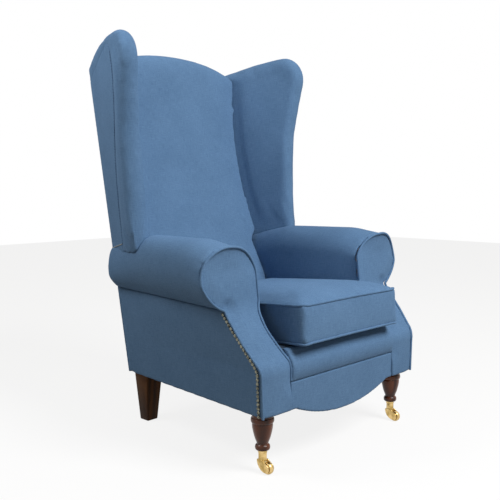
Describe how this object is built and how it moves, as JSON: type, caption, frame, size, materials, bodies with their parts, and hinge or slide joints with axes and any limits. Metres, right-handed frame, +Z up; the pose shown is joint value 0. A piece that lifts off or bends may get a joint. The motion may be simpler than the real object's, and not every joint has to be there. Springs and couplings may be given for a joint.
{
  "type": "wingback armchair",
  "caption": "High-back upholstered wing chair with scrolled arms, flared wings, a loose seat cushion, nail-trimmed sides, turned front legs on swivel castors and square tapered rear legs.",
  "frame": {"origin": "on the floor, under the middle of the chair's overall box", "axes": "+Z up from the floor to the top of the back; the sitter faces -Y, so +Y is the rear; +X is the sitter's left, seen on the right from the front"},
  "size_m": [0.8726, 0.8839, 1.224],
  "materials": {
    "blue_cloth": "linen-look plain weave, slightly mottled mid blue",
    "deck_cloth": "plain woven platform cloth",
    "black_cloth": "thin non-woven dust cover",
    "webbing": "herringbone jute webbing",
    "frame_timber": "sawn beech",
    "leg_timber": "dark red-brown polished",
    "brass": "polished, slightly aged"
  },
  "bodies": {
    "chair": {"arm_facing_left": "blue_cloth", "arm_facing_right": "blue_cloth", "arm_pad_left": "blue_cloth", "arm_pad_right": "blue_cloth", "back_webbing": "webbing", "castor_socket_left": "brass", "castor_socket_right": "brass", "dust_cover": "black_cloth", "frame_arm_rail_left": "frame_timber", "frame_arm_rail_right": "frame_timber", "frame_arm_stump_left": "frame_timber", "frame_arm_stump_right": "frame_timber", "frame_back_post_left": "frame_timber", "frame_back_post_right": "frame_timber", "frame_back_rail": "frame_timber", "frame_front_block_left": "frame_timber", "frame_front_block_right": "frame_timber", "frame_front_rail": "frame_timber", "frame_lumbar_rail": "frame_timber", "frame_rear_block_left": "frame_timber", "frame_rear_block_right": "frame_timber", "frame_side_rail_left": "frame_timber", "frame_side_rail_right": "frame_timber", "frame_top_rail": "frame_timber", "frame_wing_post_left": "frame_timber", "frame_wing_post_right": "frame_timber", "frame_wing_rail_left": "frame_timber", "frame_wing_rail_right": "frame_timber", "front_apron": "blue_cloth", "front_leg_left": "leg_timber", "front_leg_right": "leg_timber", "front_lip": "blue_cloth", "inside_back_pad": "blue_cloth", "inside_wing_pad_left": "blue_cloth", "inside_wing_pad_right": "blue_cloth", "outside_arm_panel_left": "blue_cloth", "outside_arm_panel_right": "blue_cloth", "outside_back_panel": "blue_cloth", "outside_wing_panel_left": "blue_cloth", "outside_wing_panel_right": "blue_cloth", "rear_leg_left": "leg_timber", "rear_leg_right": "leg_timber", "seat_deck": "deck_cloth", "seat_webbing": "webbing"},
    "castor_left": {"castor_horn_left": "brass", "castor_axle_left": "brass"},
    "castor_right": {"castor_horn_right": "brass", "castor_axle_right": "brass"},
    "wheel_left": {"castor_wheel_left": "brass"},
    "wheel_right": {"castor_wheel_right": "brass"},
    "cushion": {"seat_cushion": "blue_cloth"}
  },
  "joints": [
    {"name": "castor_swivel_left", "type": "hinge", "parent": "chair", "child": "castor_left", "pos_m": [-0.3, -0.361, 0.049], "axis": [0, 0, 1], "continuous": true},
    {"name": "wheel_roll_left", "type": "hinge", "parent": "castor_left", "child": "wheel_left", "pos_m": [-0.3, -0.381, 0.016], "axis": [1, 0, 0], "continuous": true},
    {"name": "castor_swivel_right", "type": "hinge", "parent": "chair", "child": "castor_right", "pos_m": [0.3, -0.361, 0.049], "axis": [0, 0, 1], "continuous": true},
    {"name": "wheel_roll_right", "type": "hinge", "parent": "castor_right", "child": "wheel_right", "pos_m": [0.3, -0.381, 0.016], "axis": [1, 0, 0], "continuous": true},
    {"name": "cushion_lift", "type": "slide", "parent": "chair", "child": "cushion", "axis": [0, 0, 1], "range_m": [0, 0.35]}
  ]
}
